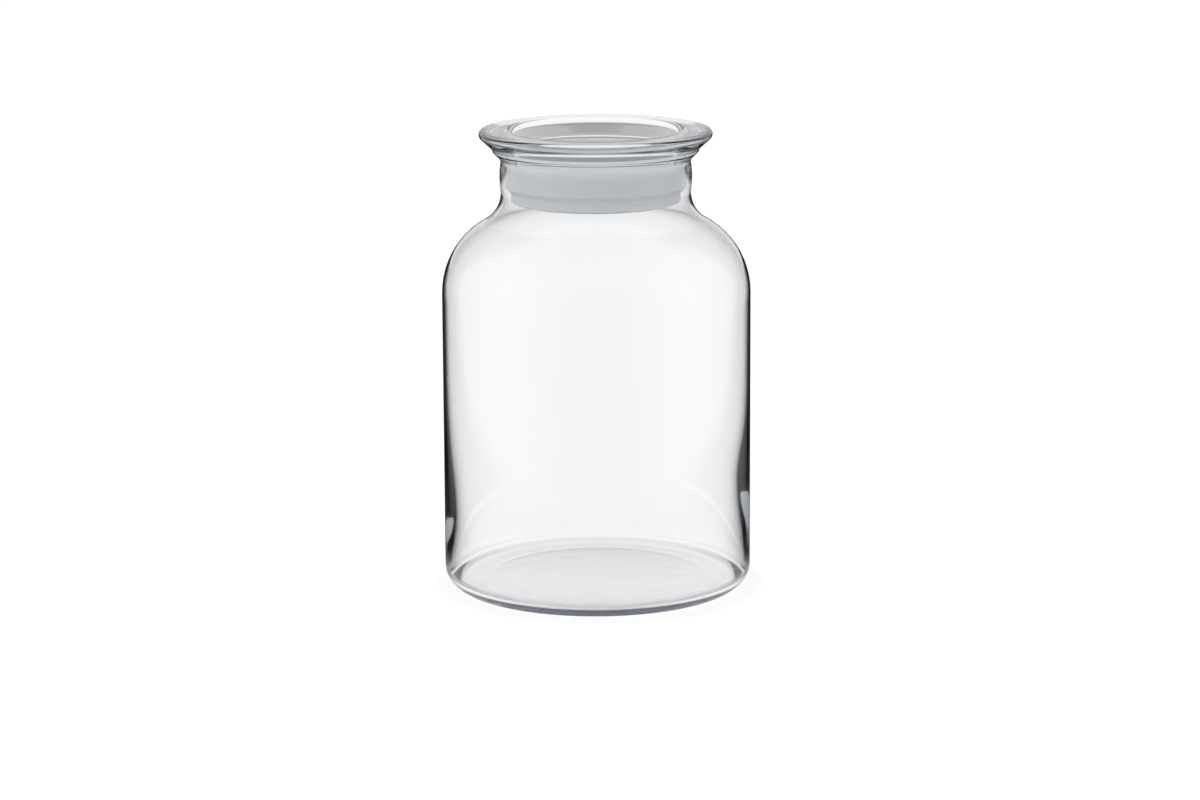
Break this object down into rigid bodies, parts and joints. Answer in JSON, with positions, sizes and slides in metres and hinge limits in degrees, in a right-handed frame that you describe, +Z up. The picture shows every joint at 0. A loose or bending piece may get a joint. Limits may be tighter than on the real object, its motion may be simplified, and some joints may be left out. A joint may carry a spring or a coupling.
{
  "type": "storage jar",
  "caption": "Round glass storage jar with a narrow neck, closed by a hollow glass stopper lid that a soft seal ring holds and seals in the neck.",
  "frame": {"origin": "centre of the base, on the surface that the jar stands on", "axes": "+Z up along the jar's axis; the jar is round, so X and Y are free"},
  "size_m": [0.105, 0.105, 0.1578],
  "materials": {
    "jar_glass": "clear blown glass, polished",
    "lid_glass": "clear pressed glass, polished",
    "seal_plastic": "frosted translucent soft plastic, satin"
  },
  "bodies": {
    "jar": {"glass_jar": "jar_glass"},
    "lid": {"glass_lid": "lid_glass", "seal_ring": "seal_plastic"}
  },
  "joints": [
    {"name": "lid_lift", "type": "slide", "parent": "jar", "child": "lid", "axis": [0, 0, 1], "range_m": [0, 0.06]}
  ]
}
